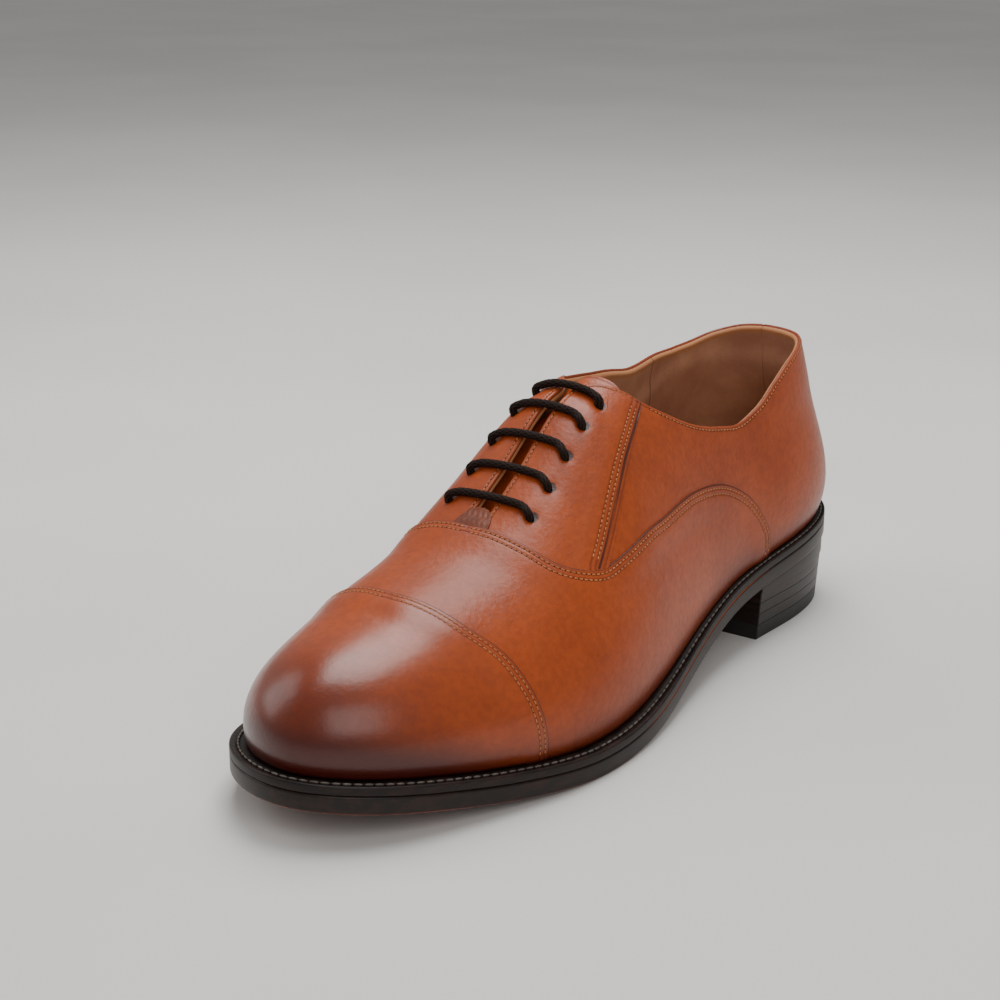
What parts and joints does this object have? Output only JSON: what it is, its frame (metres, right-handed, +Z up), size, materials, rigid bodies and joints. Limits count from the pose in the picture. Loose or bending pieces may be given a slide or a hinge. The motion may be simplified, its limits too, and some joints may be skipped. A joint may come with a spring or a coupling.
{
  "type": "leather oxford shoe",
  "caption": "Left cap-toe oxford shoe with closed lacing, a welted leather sole, a stacked heel and a tongue that folds inwards.",
  "frame": {"origin": "centre of the bounding box on the ground, under the waist of the sole", "axes": "+Z up from the ground, toe towards -Y and heel towards +Y, outer side of the left foot towards +X"},
  "size_m": [0.1068, 0.2976, 0.1073],
  "materials": {
    "tan_calf": "polished",
    "tan_dark": "satin",
    "lining": "matt",
    "vamp_lining": "twill",
    "stiffener": "matt",
    "insole": "matt",
    "edge_black": "waxed",
    "sole_leather": "polished",
    "stack": "waxed",
    "top_rubber": "matt",
    "cork": "matt",
    "spring_steel": "brushed",
    "lace_cord": "waxed",
    "lace_tip": "gloss"
  },
  "bodies": {
    "shoe": {"toe_cap": "tan_calf", "vamp": "tan_calf", "facing_lateral": "tan_calf", "facing_medial": "tan_calf", "quarter_lateral": "tan_calf", "quarter_medial": "tan_calf", "quarter_lining_lateral": "lining", "quarter_lining_medial": "lining", "throat_tab": "tan_dark", "vamp_lining": "vamp_lining", "toe_puff": "stiffener", "heel_counter": "stiffener", "insole": "insole", "sock": "tan_dark", "welt": "edge_black", "cork_filler": "cork", "shank": "spring_steel", "outsole": "sole_leather", "top_piece": "top_rubber", "heel_lift_1": "stack", "heel_lift_2": "stack", "heel_lift_3": "stack", "heel_wedge": "stack", "lace": "lace_cord", "aglet_medial": "lace_tip", "aglet_lateral": "lace_tip"},
    "tongue": {"tongue": "tan_calf", "tongue_lining": "lining"}
  },
  "joints": [
    {"name": "tongue_fold", "type": "hinge", "parent": "shoe", "child": "tongue", "pos_m": [0, -0.06, 0.058], "axis": [-1, 0, 0], "range_deg": [0, 12], "stiffness_Nm_per_rad": 0.1, "springref_deg": -11.46}
  ]
}
